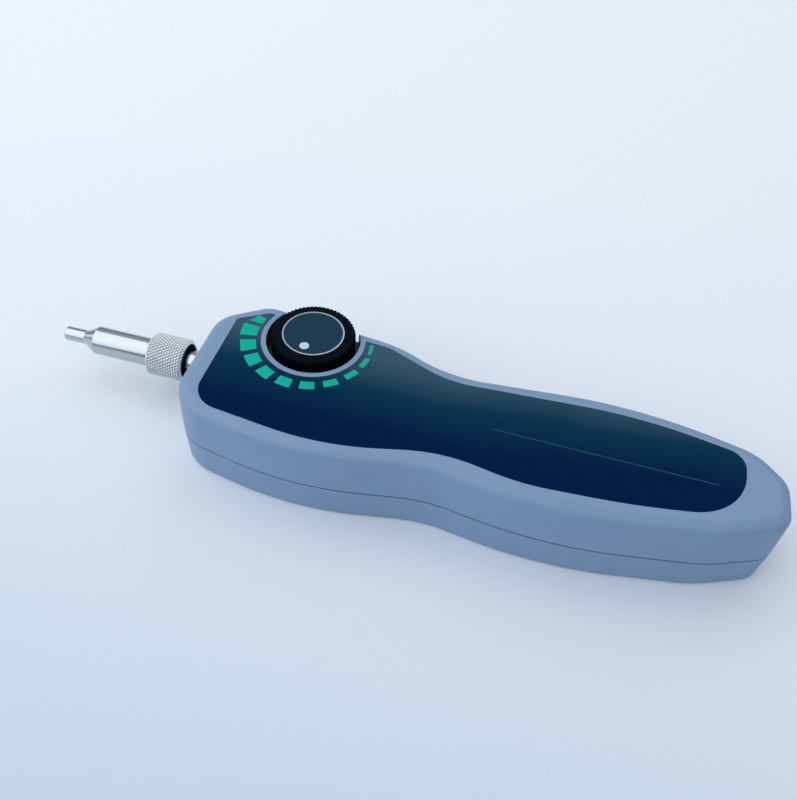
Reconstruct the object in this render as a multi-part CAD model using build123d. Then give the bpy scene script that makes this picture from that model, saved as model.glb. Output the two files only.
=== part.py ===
from build123d import *
import os
from math import acos, ceil, cos, pi, radians, sin, tan

# Fibre inspection video probe: a two-shell handheld casing, a knurled focus knob that drives
# a lens carriage by pinion and rack, and a steel inspection tip held by a knurled nut.
# Millimetres. +Z up, the tip points along -X, the knob stands towards +Y.
# The origin is below the middle of the overall box, on the surface that the probe lies on.

# Casing
body_height = 25.5
parting_height = 11.0
wall = 2.0
top_wall = 2.4
floor_wall = 2.0
front_x = -58.2
butt_x = 103.6
handle_y = -3.4
near_waist_x = 13.5
near_waist_half = 17.3
far_waist_x = 12.1
far_waist_half = 16.55
near_grip_x = 45.9
near_grip_half = 22.15
far_grip_x = 64.2
far_grip_half = 21.35
near_taper_x = 86.0
near_taper_half = 15.75
far_taper_x = 95.6
far_taper_half = 13.9
near_butt_half = 8.6
far_butt_half = 5.7
side_draft = 0.5
base_draft = 0.3
border_run = 2.8
border_drop = 1.15
border_radius = 2.0
edge_radius = 2.2
base_radius = 1.0
inner_radius = 2.0
seam_bevel = 0.25
seam_land = 0.5
lip_height = 1.2
lip_thickness = 0.9
lip_clearance = 0.1
rib_thickness = 1.2
rib_depth = 2.5
rib_setback = 14.0
rib_pitch = 18.0

# Front panel
panel_thickness = 0.4
panel_clearance = 0.1

# Focus knob and its well
knob_x = -28.2
knob_y = 13.8
knob_side_gap = 1.45
rim_width = 1.45
well_floor = 1.5
knob_radius = 11.95
knob_rise = 2.1
knob_crown = 0.15
shoulder_radius = 0.7
knob_gap = 0.7
knob_skirt = 1.25
knob_bevel = 0.4
knob_plate = 1.9
knob_boss_radius = 3.6
knob_boss_drop = 0.2
knurl_count = 60
knurl_depth = 0.5
cap_radius = 8.3
cap_thickness = 0.7
cap_proud = 0.1
trim_width = 0.45
trim_proud = 0.12
trim_clearance = 0.05
dot_radius = 1.35
dot_offset = 5.6
dot_angle = 262.0
dot_depth = 0.35

# Focus drive
shaft_radius = 1.5
running_clearance = 0.03
seat_clearance = 0.02
shaft_bevel = 0.2
bush_radius = 3.0
bush_flange_radius = 4.2
bush_flange = 1.0
bush_tail = 1.2
clip_thickness = 0.6
clip_radius = 2.6
clip_groove = 0.3
ring_radius = 5.5
ring_thickness = 0.45
ring_clearance = 0.4
knob_screw_radius = 0.8
knob_screw_head = 1.7
knob_screw_head_height = 1.0
knob_screw_length = 4.2
knob_web = 1.2
gear_module = 0.5
pinion_teeth = 12
pinion_width = 5.0
pressure_angle = radians(20.0)
backlash = 0.1
rack_width = 4.0
rack_spare_teeth = 5
rack_addendum = 0.35
rack_back = 1.0
pinion_gap = 0.85
shaft_tail = 0.75
focus_turn = radians(100.0)

# Optical axis and tip
tip_y = 5.7
tip_z = body_height / 2
nose_end_x = -103.6
nose_radius = 2.1
nose_length = 6.5
taper_length = 3.9
sleeve_radius = 4.2
ferrule_radius = 1.26
ferrule_depth = 6.0
aperture_radius = 0.9
light_radius = 1.8
nut_front_x = -75.6
nut_length = 11.3
nut_radius = 6.3
nut_bevel = 0.7
nut_lip = 1.3
nut_lip_clearance = 0.15
nut_bore_radius = 5.15
thread_clearance = 0.15
tip_flange = 1.2
barrel_radius = 3.3
barrel_bore = 2.4
barrel_collar = 3.4
spigot_length = 6.6
socket_clearance = 0.05
axial_clearance = 0.1
gasket_radius = 6.0
gasket_proud = 0.5
nose_hole_gap = 0.3

# Optical chassis and what it carries
chassis_drop = 8.5
chassis_plate = 2.0
chassis_rise = 6.75
chassis_bevel = 3.0
chassis_pocket_inset = 3.0
chassis_pocket_setback = 10.0
chassis_near_y = -3.4
chassis_far_y = 14.8
chassis_rear_far_y = 10.6
front_wall_x = -54.5
front_wall = 3.0
lens_wall_x = -8.0
lens_wall = 4.0
sensor_wall_x = 9.0
sensor_wall = 2.5
chassis_end_x = 15.0
rod_radius = 1.25
rod_drop = 5.0
rod_near_y = -0.6
rod_far_y = 12.0
rod_wall = 0.75
carriage_length = 16.0
carriage_radius = 4.0
lens_bore = 2.85
lens_seat = 0.6
front_seat_depth = 4.6
rear_seat_depth = 4.0
front_lens_thickness = 2.4
front_lens_bulge = 0.8
rear_lens_thickness = 2.2
rear_lens_bulge = 0.6
tube_lens_bulge = 0.5
tube_lens_set_in = 1.0
retainer_set_in = 0.4
retainer_width = 1.5
retainer_wall = 0.9
saddle_below_rod = 1.15
saddle_above_rod = 1.4
saddle_web = 4.8
splitter_side = 6.0
splitter_x = -2.0
lug_thickness = 1.5
lug_overhang = 1.0
lug_rise = 4.0
led_board_drop = 5.0
led_half = 1.7
led_height = 1.0
led_dome = 1.3
sensor_side = 6.0
sensor_thickness = 1.3
sensor_margin = 0.5
sensor_pane_half = 2.0
sensor_pane_depth = 0.15
sensor_board_near = 1.0
sensor_board_far = 0.5
sensor_board_gap = 0.4
sensor_board_top = 0.8
board_thickness = 1.2

# Electronics
main_board_x = 24.0
main_board_end_x = 99.5
main_board_thickness = 1.6
chip_x = 57.0
chip_side = 10.0
chip_height = 1.2
main_board_half = 7.6
tongue_x = 86.0
tongue_half = 4.9
socket_length = 7.3
socket_half = 4.47
socket_height = 3.26
socket_face_x = 102.4
socket_wall = 0.3
socket_tongue_half = 3.3
socket_tongue = 0.7
socket_tongue_set_in = 0.9
socket_gap = 0.13
ribbon_foot = 5.0
ribbon_thickness = 0.3
ribbon_half = 4.0
ribbon_bend = 1.5
ribbon_rise = 2.0

# Screws
case_boss_radius = 2.9
case_screw_radius = 1.25
case_screw_head = 2.3
case_screw_head_height = 1.6
case_screw_length = 12.0
recess_depth = 0.8
recess_reach = 1.4
recess_half = 0.25
case_screw_seat_z = 3.0
screw_head_gap = 0.2
case_screw_end_gap = 0.25
chassis_screw_radius = 1.2
chassis_screw_head = 2.2
chassis_screw_head_height = 1.4
board_screw_radius = 0.95
board_screw_head = 1.8
board_screw_head_height = 1.2
board_boss_radius = 2.4
board_screw_setback = 8.0
board_screw_rear_x = 81.5
board_screw_spread = 5.0
chassis_boss_wall = 0.8
chassis_screw_bite = 0.8
board_screw_bite = 3.8
hole_clearance = 0.05

# Heights worked out from the sizes above
clip_low_z = tip_z + pinion_width / 2 + pinion_gap
bush_low_z = clip_low_z + clip_thickness + axial_clearance
well_under_z = bush_low_z + bush_tail + bush_flange
well_floor_z = well_under_z + well_floor
well_radius = knob_radius + knob_side_gap
rim_radius = well_radius + rim_width
knob_top_z = body_height + knob_rise
knob_low_z = well_floor_z + knob_gap
cap_low_z = knob_top_z + cap_proud - cap_thickness
knob_seat_z = cap_low_z - knob_screw_head_height - axial_clearance
shaft_top_z = knob_seat_z - knob_web
inner_top_z = body_height - top_wall
pitch_radius = gear_module * pinion_teeth / 2
rack_pitch_y = knob_y - pitch_radius
rack_pitch = pi * gear_module
rack_teeth = ceil(2 * focus_turn * pitch_radius / rack_pitch) + rack_spare_teeth
shaft_low_z = tip_z - pinion_width / 2 - shaft_tail
chassis_floor_z = tip_z - chassis_drop
plate_top_z = chassis_floor_z + chassis_plate
chassis_top_z = tip_z + chassis_rise
rod_z = tip_z - rod_drop
saddle_low_z = rod_z - saddle_below_rod
saddle_top_z = rod_z + saddle_above_rod
board_top_z = parting_height - socket_height / 2
main_board_z = board_top_z - main_board_thickness

case_screw_tip_z = case_screw_seat_z + case_screw_length
chassis_screw_tip_z = floor_wall - chassis_screw_bite
board_screw_tip_z = main_board_z - board_screw_bite

case_screw_places = [(-48.0, -15.5), (-47.5, 18.2), (78.0, -14.3), (78.0, 7.5)]
chassis_rear_screw_x = (splitter_x + splitter_side + sensor_wall_x) / 2
chassis_screw_places = [(-48.5, tip_y), (chassis_rear_screw_x, 0.0), (chassis_rear_screw_x, 7.2)]
board_screw_places = [
    (x, handle_y + side * board_screw_spread)
    for x in (main_board_x + board_screw_setback, board_screw_rear_x)
    for side in (-1, 1)
]

# Guide corners of the casing's plan outline: x, y and the radius of the arc that rounds it
casing_corners = {
    "near front": (front_x, -19.7, 13.0),
    "near head": (-21.7, -27.024, 100.0),
    "near waist": (near_waist_x, handle_y - near_waist_half, 45.0),
    "near grip": (near_grip_x, handle_y - near_grip_half, 130.0),
    "near taper": (near_taper_x, handle_y - near_taper_half, 40.0),
    "near butt": (butt_x, handle_y - near_butt_half, 7.6),
    "far butt": (butt_x, handle_y + far_butt_half, 8.0),
    "far taper": (far_taper_x, handle_y + far_taper_half, 15.0),
    "far grip": (far_grip_x, handle_y + far_grip_half, 133.0),
    "far waist": (far_waist_x, handle_y + far_waist_half, 40.0),
    "far throat": (-4.5, 20.3, 40.0),
    "far head": (-45.1, 24.36, 8.0),
    "far front": (front_x, 15.2, 10.0),
}

# Steps from those corners to the panel's own, and the radii of the panel's arcs
panel_steps = {
    "near front": (6.5, 2.05, 8.0),
    "near head": (7.2, 4.72, 80.0),
    "near waist": (2.0, 5.7, 45.0),
    "near grip": (-9.4, 6.65, 60.0),
    "near taper": (-20.0, 2.05, 200.0),
    "near butt": (-11.8, -0.3, 16.0),
    "far butt": (-11.8, 5.0, 5.4),
    "far grip": (-0.2, -5.55, 130.0),
    "far waist": (0.2, -3.85, 30.0),
    "far throat": (-2.0, -3.5, 10.0),
    "far head": (1.7, -4.35, 2.5),
    "far front": (6.5, -0.2, 1.5),
}


def rounded_loop(corners):
    """Face inside a closed loop of straight runs joined by tangent arcs."""
    count = len(corners)
    points = [Vector(x, y) for x, y, _ in corners]
    runs = [points[(i + 1) % count] - points[i] for i in range(count)]
    half_turns = [radians(runs[i - 1].get_angle(runs[i])) / 2 for i in range(count)]
    reaches = [corners[i][2] * tan(half_turns[i]) for i in range(count)]
    for i in range(count):
        after = (i + 1) % count
        share = min(1.0, 0.99 * runs[i].length / (reaches[i] + reaches[after]))
        reaches[i] *= share
        reaches[after] *= share
    radii = [reach / tan(half) for reach, half in zip(reaches, half_turns)]
    return make_face(FilletPolyline(points, radius=radii, close=True))


def rod_z_axis(radius, low, high, x, y):
    """Round bar standing along Z."""
    return Pos(x, y, low) * Cylinder(radius, high - low, align=(Align.CENTER, Align.CENTER, Align.MIN))


def rod_x_axis(radius, low, high, y, z):
    """Round bar lying along X."""
    return Pos(low, y, z) * Rot(0, 90, 0) * Cylinder(
        radius, high - low, align=(Align.CENTER, Align.CENTER, Align.MIN)
    )


def bar(x, y, z):
    """Square-cornered bar between the limits of x, y and z."""
    size = (x[1] - x[0], y[1] - y[0], z[1] - z[0])
    return Pos(x[0], y[0], z[0]) * Box(*size, align=(Align.MIN, Align.MIN, Align.MIN))


def turned_x(profile):
    """Solid turned about the optical axis from (x, radius) points."""
    face = make_face(Polyline(*profile, close=True))
    return Pos(0, tip_y, tip_z) * revolve(face, Axis.X, 360)


def turned_z(profile, x, y):
    """Solid turned about an upright axis from (radius, z) points."""
    face = make_face(Plane.XZ * Polyline(*profile, close=True))
    return Pos(x, y, 0) * revolve(face, Axis.Z, 360)


def casing_outline(inset=0.0):
    """Plan outline of the casing, moved inwards by the inset."""
    face = rounded_loop(list(casing_corners.values()))
    return offset(face, amount=-inset) if inset else face


def panel_outline(inset=0.0):
    """Plan outline of the front panel with its round cut-out for the knob's rim."""
    corners = []
    for name, (step_x, step_y, radius) in panel_steps.items():
        x, y, _ = casing_corners[name]
        corners.append((x + step_x, y + step_y, radius))
    face = rounded_loop(corners)
    if inset:
        face = offset(face, amount=-inset)
    return face - Pos(knob_x, knob_y) * Circle(rim_radius + inset)


def slab(face, low, high):
    """A plan face made solid between two heights."""
    return extrude(Pos(0, 0, low) * face, high - low)


def level_edges(solid, z):
    """Edges of a solid that lie at one height."""
    return solid.edges().filter_by_position(Axis.Z, z - 0.01, z + 0.01)


def casing_block():
    """Closed outer form: sides that lean in from the parting line, a sloping border, soft edges."""
    block = slab(casing_outline(), 0, body_height)
    halves = ((-1, side_draft, body_height - parting_height), (0, base_draft, parting_height))
    for end, draft, height in halves:
        face = block.faces().sort_by(Axis.Z)[end]
        block = chamfer(face.edges(), draft, height - seam_land, reference=face)
    top = block.faces().sort_by(Axis.Z)[-1]
    block = chamfer(top.edges(), border_run, border_drop, reference=top)
    block = fillet(level_edges(block, body_height - border_drop), edge_radius)
    block = fillet(level_edges(block, body_height), border_radius)
    return fillet(level_edges(block, 0), base_radius)


def casing_hollow(low, high):
    """Space inside the walls between two heights, rounded at its top when that is under the top wall."""
    hollow = slab(casing_outline(wall), low, high)
    return fillet(level_edges(hollow, high), inner_radius) if high == inner_top_z else hollow


def nose_cut():
    """Round hole in the front wall for the optical barrel."""
    return rod_x_axis(barrel_radius + nose_hole_gap, front_x - 5, front_x + wall + 3, tip_y, tip_z)


def socket_plane(x):
    """Upright plane across the cable socket's axis, facing out of the butt."""
    return Plane(origin=(x, handle_y, board_top_z + socket_height / 2), x_dir=(0, 1, 0), z_dir=(1, 0, 0))


def socket_cut():
    """Rounded slot in the butt wall for the cable socket."""
    half = socket_half + socket_gap
    height = socket_height + 2 * socket_gap
    slot = RectangleRounded(2 * half, height, height / 2 - 0.05)
    face = socket_plane(butt_x - 2 * wall) * slot
    return extrude(face, 3 * wall)


def below_parting(block):
    """The part of a form under the parting line, with its outer seam edge bevelled."""
    half = split(block, Plane.XY.offset(parting_height), keep=Keep.BOTTOM)
    return chamfer(level_edges(half, parting_height), seam_bevel)


def above_parting(block):
    """The part of a form over the parting line, with its outer seam edge bevelled."""
    half = split(block, Plane.XY.offset(parting_height), keep=Keep.TOP)
    return chamfer(level_edges(half, parting_height), seam_bevel)


def seam_ring(outer_inset, inner_inset, height):
    """Band that follows the wall just above the parting line."""
    return slab(casing_outline(outer_inset) - casing_outline(inner_inset), parting_height, parting_height + height)


def upper_shell(block):
    """Top half: border, panel recess, knob well, bosses and ribs."""
    half = above_parting(block)
    shell = half - casing_hollow(0, inner_top_z)
    inside = []
    for x, y in case_screw_places:
        inside.append(rod_z_axis(case_boss_radius, parting_height, body_height, x, y))
    inside.append(rod_z_axis(rim_radius, well_under_z, body_height, knob_x, knob_y))
    for step in range(3):
        x = near_waist_x + rib_setback + step * rib_pitch
        span = (handle_y - near_grip_half, handle_y + near_grip_half)
        inside.append(bar((x, x + rib_thickness), span, (inner_top_z - rib_depth, body_height)))
    for piece in inside:
        shell += piece & half
    shell -= seam_ring(wall - lip_thickness - lip_clearance, wall + lip_clearance, lip_height + lip_clearance)
    shell -= rod_z_axis(well_radius, well_floor_z, knob_top_z, knob_x, knob_y)
    shell -= rod_z_axis(bush_radius + seat_clearance, bush_low_z, body_height, knob_x, knob_y)
    shell -= slab(panel_outline(), body_height - panel_thickness, knob_top_z)
    for x, y in case_screw_places:
        shell -= rod_z_axis(case_screw_radius + hole_clearance, 0, case_screw_tip_z + 2 * case_screw_end_gap, x, y)
    return shell - nose_cut() - socket_cut()


def lower_shell(block):
    """Bottom half: floor, seam lip, screw bosses, chassis pads and board posts."""
    half = below_parting(block)
    shell = half - casing_hollow(floor_wall, body_height)
    for x, y in case_screw_places:
        shell += rod_z_axis(case_boss_radius, floor_wall / 2, parting_height, x, y) & half
    for x, y in chassis_screw_places:
        shell += rod_z_axis(chassis_screw_head + chassis_boss_wall, floor_wall / 2, chassis_floor_z, x, y)
    for x, y in board_screw_places:
        shell += rod_z_axis(board_boss_radius, floor_wall / 2, main_board_z, x, y)
    shell += seam_ring(wall - lip_thickness, wall, lip_height)
    for x, y in case_screw_places:
        shell -= rod_z_axis(case_screw_head + screw_head_gap, 0, case_screw_seat_z, x, y)
        shell -= rod_z_axis(case_screw_radius + hole_clearance, 0, body_height, x, y)
    for x, y in chassis_screw_places:
        shell -= rod_z_axis(chassis_screw_radius + hole_clearance, chassis_screw_tip_z, body_height, x, y)
    for x, y in board_screw_places:
        shell -= rod_z_axis(board_screw_radius + hole_clearance, board_screw_tip_z, body_height, x, y)
    return shell - nose_cut() - socket_cut()


def front_panel():
    """Thin overlay that lies flush in the upper shell."""
    return slab(panel_outline(panel_clearance), body_height - panel_thickness, body_height)


def knurl_grooves():
    """Straight V grooves round the knob's grip band."""
    half = pi * knob_radius / knurl_count * 0.8
    outer = knob_radius + 0.1
    notch = make_face(Polyline((knob_radius - knurl_depth, 0), (outer, half), (outer, -half), close=True))
    grooves = Sketch() + [Rot(0, 0, 360 * i / knurl_count) * notch for i in range(knurl_count)]
    return Pos(knob_x, knob_y, 0) * slab(grooves, well_floor_z, knob_top_z - knob_crown - shoulder_radius)


def focus_knob():
    """Hollow knob with a central boss, a grooved grip and a rounded shoulder."""
    shoulder_z = knob_top_z - knob_crown - shoulder_radius
    inner = knob_radius - knob_skirt
    plate_z = cap_low_z - knob_plate
    recess = cap_radius + trim_width + 2 * trim_clearance
    bore = shaft_radius + seat_clearance
    well = knob_screw_head + screw_head_gap
    boss_z = knob_low_z - knob_boss_drop
    crown_z = knob_top_z - knob_crown
    outline = [
        Line((inner, knob_low_z), (knob_radius - knob_bevel, knob_low_z)),
        Line((knob_radius - knob_bevel, knob_low_z), (knob_radius, knob_low_z + knob_bevel)),
        Line((knob_radius, knob_low_z + knob_bevel), (knob_radius, shoulder_z)),
        RadiusArc((knob_radius, shoulder_z), (knob_radius - shoulder_radius, crown_z), -shoulder_radius),
        Polyline(
            (knob_radius - shoulder_radius, crown_z),
            (recess + knob_crown, knob_top_z),
            (recess, knob_top_z),
            (recess, cap_low_z),
            (well, cap_low_z),
            (well, knob_seat_z),
            (knob_screw_radius + hole_clearance, knob_seat_z),
            (knob_screw_radius + hole_clearance, shaft_top_z),
            (bore, shaft_top_z),
            (bore, boss_z),
            (knob_boss_radius, boss_z),
            (knob_boss_radius, plate_z),
            (inner, plate_z),
            (inner, knob_low_z),
        ),
    ]
    face = make_face([Plane.XZ * piece for piece in outline])
    return Pos(knob_x, knob_y, 0) * revolve(face, Axis.Z, 360) - knurl_grooves()


def knob_cap():
    """Disc let into the knob's top, with a seat for the pointer dot."""
    top = cap_low_z + cap_thickness
    disc = rod_z_axis(cap_radius, cap_low_z, top, knob_x, knob_y)
    return disc - dot_bar(dot_radius + trim_clearance, top + 1)


def dot_bar(radius, top):
    """Upright bar at the pointer's place."""
    x = knob_x + dot_offset * cos(radians(dot_angle))
    y = knob_y + dot_offset * sin(radians(dot_angle))
    return rod_z_axis(radius, cap_low_z + cap_thickness - dot_depth, top, x, y)


def knob_trim_ring():
    """Narrow ring round the cap."""
    inner = cap_radius + trim_clearance
    top = knob_top_z + trim_proud
    ring = rod_z_axis(inner + trim_width, cap_low_z, top, knob_x, knob_y)
    return ring - rod_z_axis(inner, cap_low_z - 1, top + 1, knob_x, knob_y)


def focus_shaft():
    """Upright shaft with a groove for its clip and a tapped upper end."""
    shaft = rod_z_axis(shaft_radius, shaft_low_z, shaft_top_z, knob_x, knob_y)
    shaft = chamfer(level_edges(shaft, shaft_low_z), shaft_bevel)
    groove = rod_z_axis(clip_radius, clip_low_z, clip_low_z + clip_thickness, knob_x, knob_y)
    groove -= rod_z_axis(shaft_radius - clip_groove, clip_low_z, clip_low_z + clip_thickness, knob_x, knob_y)
    depth = knob_screw_length - knob_web + axial_clearance
    tapped = rod_z_axis(knob_screw_radius + seat_clearance, shaft_top_z - depth, shaft_top_z, knob_x, knob_y)
    return shaft - groove - tapped


def knob_screw():
    """Small screw that draws the knob onto the shaft."""
    screw = rod_z_axis(knob_screw_head, knob_seat_z, knob_seat_z + knob_screw_head_height, knob_x, knob_y)
    screw += rod_z_axis(knob_screw_radius, knob_seat_z - knob_screw_length, knob_seat_z, knob_x, knob_y)
    return screw


def shaft_bush():
    """Flanged bush pressed up into the well's floor."""
    bore = shaft_radius + running_clearance
    profile = [
        (bore, bush_low_z),
        (bush_radius, bush_low_z),
        (bush_radius, well_under_z - bush_flange),
        (bush_flange_radius, well_under_z - bush_flange),
        (bush_flange_radius, well_under_z),
        (bush_radius, well_under_z),
        (bush_radius, well_floor_z),
        (bore, well_floor_z),
    ]
    return turned_z(profile, knob_x, knob_y)


def friction_ring():
    """Fibre washer between the well's floor and the knob's boss."""
    ring = rod_z_axis(ring_radius, well_floor_z, well_floor_z + ring_thickness, knob_x, knob_y)
    return ring - rod_z_axis(shaft_radius + ring_clearance, 0, body_height, knob_x, knob_y)


def shaft_clip():
    """Open spring clip in the shaft's groove, below the bush."""
    low, high = clip_low_z, clip_low_z + clip_thickness - seat_clearance
    inner = shaft_radius - clip_groove + seat_clearance
    clip = rod_z_axis(clip_radius, low, high, knob_x, knob_y)
    clip -= rod_z_axis(inner, low, high, knob_x, knob_y)
    return clip - bar((knob_x, knob_x + clip_radius), (knob_y - inner * 0.8, knob_y + inner * 0.8), (low, high))


def tooth_half_angle(radius):
    """Half of a pinion tooth's angle at a radius, from the involute of the base circle."""
    base = pitch_radius * cos(pressure_angle)
    slant = acos(base / radius)
    at_pitch = pi / (2 * pinion_teeth) - backlash / (4 * pitch_radius)
    return at_pitch + (tan(pressure_angle) - pressure_angle) - (tan(slant) - slant)


def pinion_face():
    """Outline of the pinion, one tooth pointing at the rack."""
    base = pitch_radius * cos(pressure_angle)
    tip = pitch_radius + gear_module
    root = pitch_radius - 1.25 * gear_module
    radii = [base + (tip - base) * step / 4 for step in range(5)]
    flank = [(root, tooth_half_angle(base))] + [(radius, tooth_half_angle(radius)) for radius in radii]
    points = []
    for tooth in range(pinion_teeth):
        middle = -pi / 2 + 2 * pi * tooth / pinion_teeth
        points += [(r * cos(middle - half), r * sin(middle - half)) for r, half in flank]
        points += [(r * cos(middle + half), r * sin(middle + half)) for r, half in reversed(flank)]
    return make_face(Polyline(*points, close=True))


def focus_pinion():
    """Twelve-tooth pinion with a short hub, fixed on the shaft."""
    low = tip_z - pinion_width / 2
    gear = Pos(knob_x, knob_y, 0) * slab(pinion_face(), low, low + pinion_width)
    return gear - rod_z_axis(shaft_radius + seat_clearance, low - 1, low + 8, knob_x, knob_y)


def focus_rack():
    """Straight rack that the pinion pushes along X."""
    pitch = rack_pitch
    low_y = rack_pitch_y - 1.25 * gear_module
    tip_y_line = rack_pitch_y + rack_addendum
    half_pitch_width = pitch / 4 - backlash / 4
    slope = tan(pressure_angle)
    half_root = half_pitch_width + slope * (rack_pitch_y - low_y)
    half_tip = half_pitch_width - slope * rack_addendum
    start = knob_x - pitch * rack_teeth / 2
    points = [(start, low_y - rack_back)]
    points.append((start, low_y))
    for tooth in range(rack_teeth):
        middle = start + pitch * (tooth + 0.5)
        points.append((middle - half_root, low_y))
        points.append((middle - half_tip, tip_y_line))
        points.append((middle + half_tip, tip_y_line))
        points.append((middle + half_root, low_y))
    points.append((start + pitch * rack_teeth, low_y))
    points.append((start + pitch * rack_teeth, low_y - rack_back))
    face = make_face(Polyline(*points, close=True))
    return slab(face, tip_z - rack_width / 2, tip_z + rack_width / 2)


def rack_back_y():
    """The rack's flat back, where it is screwed to the carriage."""
    return rack_pitch_y - 1.25 * gear_module - rack_back


def carriage_span():
    """The carriage's ends along X with the knob at mid-scale."""
    return knob_x - carriage_length / 2, knob_x + carriage_length / 2


def lens_carriage():
    """Lens tube on a saddle that slides on the two guide rods."""
    x = carriage_span()
    body = rod_x_axis(carriage_radius, *x, tip_y, tip_z)
    body += bar(x, (tip_y, rack_back_y()), (tip_z - rack_width / 2, tip_z + rack_width / 2))
    body += bar(x, (tip_y - saddle_web / 2, tip_y + saddle_web / 2), (saddle_low_z, tip_z - lens_bore))
    reach = rod_radius + rod_wall
    saddle = bar(x, (rod_near_y - reach, rod_far_y + reach), (saddle_low_z, saddle_top_z))
    body += fillet(saddle.edges().filter_by(Axis.X), rod_wall * 0.8)
    body -= bar((x[0] - 1, x[1] + 1), (rack_back_y(), body_height), (saddle_top_z, body_height))
    for y in (rod_near_y, rod_far_y):
        body -= rod_x_axis(rod_radius + running_clearance, x[0] - 1, x[1] + 1, y, rod_z)
    body -= rod_x_axis(lens_bore - lens_seat, x[0] - 1, x[1] + 1, tip_y, tip_z)
    body -= rod_x_axis(lens_bore, x[0] - 1, x[0] + front_seat_depth, tip_y, tip_z)
    return body - rod_x_axis(lens_bore, x[1] - rear_seat_depth, x[1] + 1, tip_y, tip_z)


def lens(low, high, bulge, towards):
    """Glass disc with one domed face."""
    radius = lens_bore - seat_clearance
    face_x, back_x = (low, high) if towards < 0 else (high, low)
    outline = [
        Polyline((face_x - towards * bulge, radius), (back_x, radius), (back_x, 0), (face_x, 0)),
        ThreePointArc((face_x, 0), (face_x - towards * bulge * 0.25, radius / 2), (face_x - towards * bulge, radius)),
    ]
    return Pos(0, tip_y, tip_z) * revolve(make_face(outline), Axis.X, 360)


def objective_front_lens():
    """First lens of the objective, in the carriage's front seat."""
    x = carriage_span()[0] + front_seat_depth
    return lens(x - front_lens_thickness, x, front_lens_bulge, -1)


def objective_rear_lens():
    """Second lens of the objective, in the carriage's rear seat."""
    x = carriage_span()[1] - rear_seat_depth
    return lens(x, x + rear_lens_thickness, rear_lens_bulge, 1)


def lens_retainer():
    """Threaded ring that holds the front lens."""
    low = carriage_span()[0] + retainer_set_in
    high = low + retainer_width
    ring = rod_x_axis(lens_bore - seat_clearance, low, high, tip_y, tip_z)
    return ring - rod_x_axis(lens_bore - retainer_wall, low, high, tip_y, tip_z)


def guide_rods():
    """Two ground rods between the chassis walls."""
    rods = [
        rod_x_axis(rod_radius, front_wall_x, lens_wall_x + lens_wall, y, rod_z)
        for y in (rod_near_y, rod_far_y)
    ]
    return Compound(children=rods)


def chassis_wall(x, thickness, high):
    """Upright wall of the chassis with bevelled upper corners, as far as y = high."""
    low = chassis_near_y
    shape = make_face(
        Plane.YZ
        * Polyline(
            (low, chassis_floor_z),
            (high, chassis_floor_z),
            (high, chassis_top_z - chassis_bevel),
            (high - chassis_bevel, chassis_top_z),
            (low + chassis_bevel, chassis_top_z),
            (low, chassis_top_z - chassis_bevel),
            close=True,
        )
    )
    return extrude(Pos(x, 0, 0) * shape, thickness)


def lug_span():
    """Ends along X of the lug that carries the lamp's board."""
    return splitter_x - lug_overhang, splitter_x + splitter_side + lug_overhang


def optical_chassis():
    """Machined bed with three walls that line up barrel, carriage, lens, splitter and sensor."""
    height = (chassis_floor_z, plate_top_z)
    body = bar((front_wall_x, lens_wall_x + lens_wall), (chassis_near_y, chassis_far_y), height)
    body += bar((lens_wall_x, chassis_end_x), (chassis_near_y, chassis_rear_far_y), height)
    body += chassis_wall(front_wall_x, front_wall, chassis_far_y)
    body += chassis_wall(lens_wall_x, lens_wall, chassis_far_y)
    body += chassis_wall(sensor_wall_x, sensor_wall, chassis_rear_far_y)
    half = splitter_side / 2
    seat = tip_z - half
    body += bar((splitter_x, splitter_x + splitter_side), (tip_y - half, tip_y + half), (plate_top_z - 1, seat))
    body += bar(lug_span(), (chassis_near_y, chassis_near_y + lug_thickness), (plate_top_z - 1, tip_z + lug_rise))
    body -= rod_x_axis(barrel_radius + seat_clearance, front_wall_x - 1, front_wall_x + front_wall + 1, tip_y, tip_z)
    body -= rod_x_axis(lens_bore, lens_wall_x - 1, lens_wall_x + lens_wall + 1, tip_y, tip_z)
    window = sensor_side / 2 + sensor_margin
    body -= bar(
        (sensor_wall_x - 1, sensor_wall_x + sensor_wall + 1),
        (tip_y - window, tip_y + window),
        (tip_z - window, tip_z + window),
    )
    for y in (rod_near_y, rod_far_y):
        body -= rod_x_axis(rod_radius + seat_clearance, front_wall_x - 1, lens_wall_x + lens_wall + 1, y, rod_z)
    for x, y in chassis_screw_places:
        body -= rod_z_axis(chassis_screw_radius + hole_clearance, 0, plate_top_z + 1, x, y)
    pocket = bar(
        (front_wall_x + chassis_pocket_setback, lens_wall_x - chassis_pocket_inset),
        (rod_near_y + chassis_pocket_inset, rod_far_y - chassis_pocket_inset),
        (chassis_floor_z, plate_top_z),
    )
    return body - fillet(pocket.edges().filter_by(Axis.Z), chassis_pocket_inset / 2)


def tube_lens():
    """Fixed lens in the chassis wall behind the carriage."""
    x = lens_wall_x + tube_lens_set_in
    return lens(x, x + rear_lens_thickness, tube_lens_bulge, -1)


def beam_splitter():
    """Two glass prisms that meet on a slanted face."""
    half = splitter_side / 2
    near, far = (tip_y - half), (tip_y + half)
    low, high = splitter_x, splitter_x + splitter_side
    corners = [(low, near), (high, near), (high, far), (low, far)]
    prisms = []
    for third in (1, 3):
        face = make_face(Polyline(corners[0], corners[third], corners[2], close=True))
        prisms.append(slab(face, tip_z - half, tip_z + half))
    return Compound(children=prisms)


def led_board():
    """Small board on the chassis lug, facing the splitter."""
    near = chassis_near_y + lug_thickness
    return bar(lug_span(), (near, near + board_thickness), (tip_z - led_board_drop, tip_z + lug_rise))


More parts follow.
